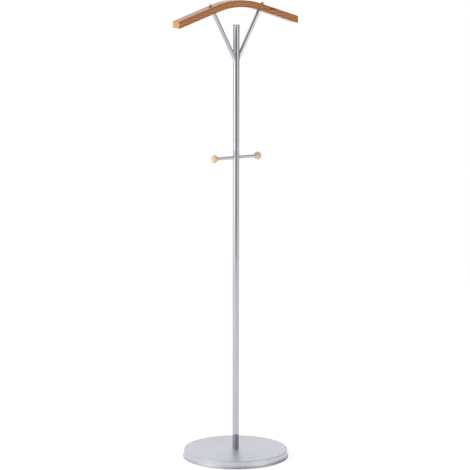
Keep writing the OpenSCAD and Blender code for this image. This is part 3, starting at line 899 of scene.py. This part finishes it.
def makeHanger():
    # at each station along X the section is a rectangle between the two bow lines with round corners;
    # near the ends it draws in on a quarter circle, so that the end's edges are rounded too
    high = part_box("hanger_bar")[1]
    s = hangerShape
    half, depth = high.x, high.y
    ease = np.linspace(0, math.pi / 2, 8)
    straight = np.linspace(-(half - s["endEdge"]), half - s["endEdge"], s["stations"])
    endX = half - s["endEdge"] * (1 - np.sin(ease))
    endInset = s["endEdge"] * (1 - np.cos(ease))
    stations = np.concatenate([-endX[::-1], straight[1:-1], endX])
    inset = np.concatenate([endInset[::-1], np.zeros(len(straight) - 2), endInset])
    # unit section: four corner arcs, each followed by seven points along the next side; the edge tone
    # is full on the arcs and falls off beside them
    arcs = np.linspace(0, math.pi / 2, 7)
    sideShare = np.array([0.05, 0.13, 0.3, 0.5, 0.7, 0.87, 0.95])
    sideTone = np.array([0.75, 0.28, 0.06, 0.0, 0.06, 0.28, 0.75])
    corners = np.array([(1, 1), (-1, 1), (-1, -1), (1, -1)], float)
    sign, arcTurn, tone = [], [], []
    for number, corner in enumerate(corners):
        following = corners[(number + 1) % 4]
        sign.append(np.tile(corner, (len(arcs), 1)))
        sign.append(corner + (following - corner) * sideShare[:, None])
        arcTurn.append(arcs + number * math.pi / 2)
        arcTurn.append(np.full(len(sideShare), (number + 1) * math.pi / 2))
        tone.append(np.ones(len(arcs)))
        tone.append(sideTone)
    sign, arcTurn, tone = np.concatenate(sign), np.concatenate(arcTurn), np.concatenate(tone)
    top = high.z + bowHeight(stations, s["crown"]) - inset
    bottom = high.z + bowHeight(stations, s["crown"] - s["thickness"]) + inset
    r = np.minimum(s["edge"], s["edge"] - 0.35 * inset)[:, None]
    halfY = (depth - inset)[:, None] - r
    halfZ = ((top - bottom) / 2)[:, None] - r
    y = sign[:, 0] * halfY + r * np.cos(arcTurn)
    z = ((top + bottom) / 2)[:, None] + sign[:, 1] * halfZ + r * np.sin(arcTurn)
    x = stations[:, None] + 0 * y
    body = np.stack([x, y, z], -1)
    # flat ends: rows that shrink to the middle of the section
    shrink = (0.0, 0.35, 0.7)
    middleOf = body.mean(axis=1, keepdims=True)
    caps = [middleOf[:1] + (body[:1] - middleOf[:1]) * k for k in shrink]
    ends = [middleOf[-1:] + (body[-1:] - middleOf[-1:]) * k for k in shrink[::-1]]
    grid = np.concatenate(caps + [body] + ends)
    piece = putSurface("hanger_bar_shaped", grid, False)
    # one tone to each vertex, in the grid's order; the first and last rows are a single vertex each
    tones = np.tile(tone, (len(grid), 1))
    tones[:len(shrink)] = 0.25
    tones[-len(shrink):] = 0.25
    kept = np.concatenate([tones[0, :1], tones[1:-1].reshape(-1), tones[-1, :1]])
    attribute = piece.data.attributes.new("edgeTone", "FLOAT", "POINT")
    attribute.data.foreach_set("value", kept.astype(np.float32))
    cutters = []
    for sideName, line in armLine.items():
        seat, seatRadius, seatThick = ringOnArm(sideName + "_seat_ring", line["tilt"])
        washer, washerRadius, washerThick = ringOnArm(sideName + "_hanger_washer", line["tilt"])
        along, gap, centre = line["direction"], s["boreGap"], (seat + washer) / 2
        cutters.append(rod(sideName + "SeatCutter", seatRadius + gap, -30 * mm, seatThick / 2, seat, along))
        cutters.append(rod(sideName + "SpotCutter", washerRadius + gap, -washerThick / 2, 20 * mm, washer,
                           along))
        cutters.append(rod(sideName + "StudCutter", s["studHole"], -40 * mm, 50 * mm, centre, along, 32))
    return finished(bored(piece, cutters), finish["hangerWood"], ["hanger_bar"], 35)


makeHanger()
print("stage: hanger made")


keptNodes = {
    # fasteners that keep the frame's shape and only take a finish
    "zinc": ["foot_screws", "pole_bolt_washer"],
    "turned": ["pole_lock_washer", "pole_foot_plug", "peg_set_screw", "left_knob_stud", "right_knob_stud",
               "left_arm_plug", "right_arm_plug", "left_hanger_stud", "right_hanger_stud"],
}
for finishName, names in keptNodes.items():
    for name in names:
        nodes[name].data.materials.clear()
        nodes[name].data.materials.append(finish[finishName])
print("stage: fasteners finished")


cameraPlace = {
    "turn": 32.06,          # degrees from the hanger's front towards its left end
    "distance": 7.354,      # measured level, from the pole's axis
    "height": 1.983,
    "pitch": 9.862,
    "roll": 0.09,
    "lens": 184.8,
    "shiftX": -0.0020,
}


def placeCamera():
    c = cameraPlace
    turn = math.radians(c["turn"])
    camera = bpy.data.objects.new("camera", bpy.data.cameras.new("camera"))
    bpy.context.scene.collection.objects.link(camera)
    camera.location = (-c["distance"] * math.sin(turn), -c["distance"] * math.cos(turn), c["height"])
    aimed = Matrix.Rotation(-turn, 3, "Z") @ Matrix.Rotation(math.radians(90 - c["pitch"]), 3, "X")
    camera.rotation_euler = (aimed @ Matrix.Rotation(math.radians(c["roll"]), 3, "Z")).to_euler()
    camera.data.lens, camera.data.sensor_width = c["lens"], 36
    camera.data.shift_x = c["shiftX"]
    camera.data.clip_start, camera.data.clip_end = 0.1, 100
    bpy.context.scene.camera = camera


studio = {
    "white": 1.0,           # what stands behind the object
    # heights, as the sine of the slope, over which each band takes over from the one below it
    "blends": {"walls": (-0.20, -0.165), "level": (-0.125, -0.085), "above": (0.09, 0.16),
               "high": (0.30, 0.38)},
    # brightness against the angle from the camera's side, right of it positive, in five bands:
    # far below level, where only the sloping tubes look
    "low": [(-180, 1.0), (-120, 1.0), (0, 0.9), (52, 0.8), (66, 2.3), (100, 2.3), (110, 0.25), (152, 0.25),
            (166, 0.9), (180, 0.9)],
    # just below level
    "walls": [(-180, 1.05), (-128, 1.10), (-84, 1.15), (-72, 2.3), (-46, 2.3), (-35, 0.70), (0, 0.48),
              (10, 0.33), (34, 0.38), (46, 0.95), (74, 0.95), (90, 0.75), (130, 0.8), (160, 1.05),
              (180, 1.05)],
    # level, seen by the top of the pole
    "level": [(-180, 1.05), (-128, 0.8), (-86, 0.65), (-73, 2.3), (-46, 2.3), (-36, 0.34), (0, 0.27),
              (30, 0.26), (41, 1.6), (63, 1.6), (76, 0.6), (98, 0.30), (120, 0.13), (150, 0.13),
              (166, 1.05), (180, 1.05)],
    # just above level, which the base's cover mirrors to the foot of the pole
    "above": [(-180, 1.05), (-128, 0.8), (-86, 1.0), (-73, 1.8), (-46, 1.6), (-36, 1.4), (-8, 1.2), (5, 0.6),
              (30, 0.5), (41, 1.6), (63, 1.6), (76, 0.5), (98, 0.25), (120, 0.10), (150, 0.10), (166, 1.05),
              (180, 1.05)],
    # well above level
    "high": [(-180, 1.10), (-148, 1.05), (-118, 0.9), (-60, 1.1), (-25, 0.50), (0, 0.34), (25, 0.42),
             (60, 0.50), (120, 0.50), (148, 1.05), (180, 1.10)],
    "fill": 0.47,
    "floor": (0.45, 0.45, 0.455),
    "floorGlow": 0.74,
    "floorRadius": 3.4,
}


def lightWorld():
    # five bands stacked by height, each with its brightness following the angle round Z; what the lens
    # sees directly is plain white, and soft surfaces get an even fill
    world = bpy.data.worlds.new("studio")
    world.use_nodes = True
    bpy.context.scene.world = world
    tree = world.node_tree
    background = tree.nodes["Background"]
    place = addNode(tree, "ShaderNodeTexCoord").outputs["Generated"]
    wires = {"Vector": place, "Angle": math.radians(cameraPlace["turn"] + 90)}
    turned = addNode(tree, "ShaderNodeVectorRotate", wires, rotation_type="Z_AXIS")
    parts = addNode(tree, "ShaderNodeSeparateXYZ", {"Vector": turned.outputs[0]}).outputs
    # after the turn the camera's side lies along +X and its right-hand side along +Y
    turns = maths(tree, "DIVIDE", maths(tree, "ARCTAN2", parts["Y"], parts["X"]), 2 * math.pi)
    angle = maths(tree, "ADD", turns, 0.5)

    def tone(band):
        return ramp(tree, angle, [(0.5 + degrees / 360, (value,) * 3) for degrees, value in studio[band]])

    room = tone("low")
    for band, (low, high) in studio["blends"].items():
        room = blendColour(tree, spread(tree, parts["Z"], 0, 1, low, high), room, tone(band))
    path = addNode(tree, "ShaderNodeLightPath")
    seen = blendColour(tree, path.outputs["Is Diffuse Ray"], room, (studio["fill"],) * 3)
    seen = blendColour(tree, path.outputs["Is Camera Ray"], seen, (studio["white"],) * 3)
    tree.links.new(seen, background.inputs["Color"])


softLights = {
    # name: angle from the camera's side in degrees, height, distance, size, watts
    "keyLight": (-58, 2.3, 3.0, 0.7, 56),
    "fillLight": (40, 2.4, 3.2, 1.6, 5),
}


def placeLights():
    for name, (angle, height, distance, size, power) in softLights.items():
        data = bpy.data.lights.new(name, "AREA")
        data.shape, data.size, data.energy = "SQUARE", size, power
        light = bpy.data.objects.new(name, data)
        bpy.context.scene.collection.objects.link(light)
        turn = math.radians(cameraPlace["turn"] - angle)    # angles are measured like the walls' ones
        light.location = (-distance * math.sin(turn), -distance * math.cos(turn), height)
        aim = Vector((0, 0, 0.9)) - light.location
        light.rotation_euler = aim.to_track_quat("-Z", "Y").to_euler()
        light.visible_glossy = False        # the metal shows the bands above, not the lamps


def layFloor():
    # pale matt disc under the feet, with a faint mottle
    count = 128
    angle = np.arange(count) / count * 2 * math.pi
    r = studio["floorRadius"]
    points = np.stack([r * np.cos(angle), r * np.sin(angle), np.full(count, floorZ)], 1)
    mesh = bpy.data.meshes.new("studio_floor")
    mesh.from_pydata(points.tolist(), [], [list(range(count))])
    floor = bpy.data.objects.new("studio_floor", mesh)
    bpy.context.scene.collection.objects.link(floor)
    material, tree, shader = startMaterial("studio_floor", Roughness=0.9, Specular_IOR_Level=0.1)
    mottle = noise(tree, objectPlace(tree), 3.0, 3.0)
    paler = tuple(min(c * 1.02, 1.0) for c in studio["floor"])
    tone = blendColour(tree, spread(tree, mottle, 0, 1), studio["floor"], paler)
    tree.links.new(tone, shader.inputs["Base Color"])
    shader.inputs["Emission Color"].default_value = (1, 1, 1, 1)
    shader.inputs["Emission Strength"].default_value = studio["floorGlow"]
    mesh.materials.append(material)


placeCamera()
lightWorld()
placeLights()
layFloor()
bpy.context.scene.view_settings.view_transform = "Standard"
print("stage: camera, lights and floor placed")
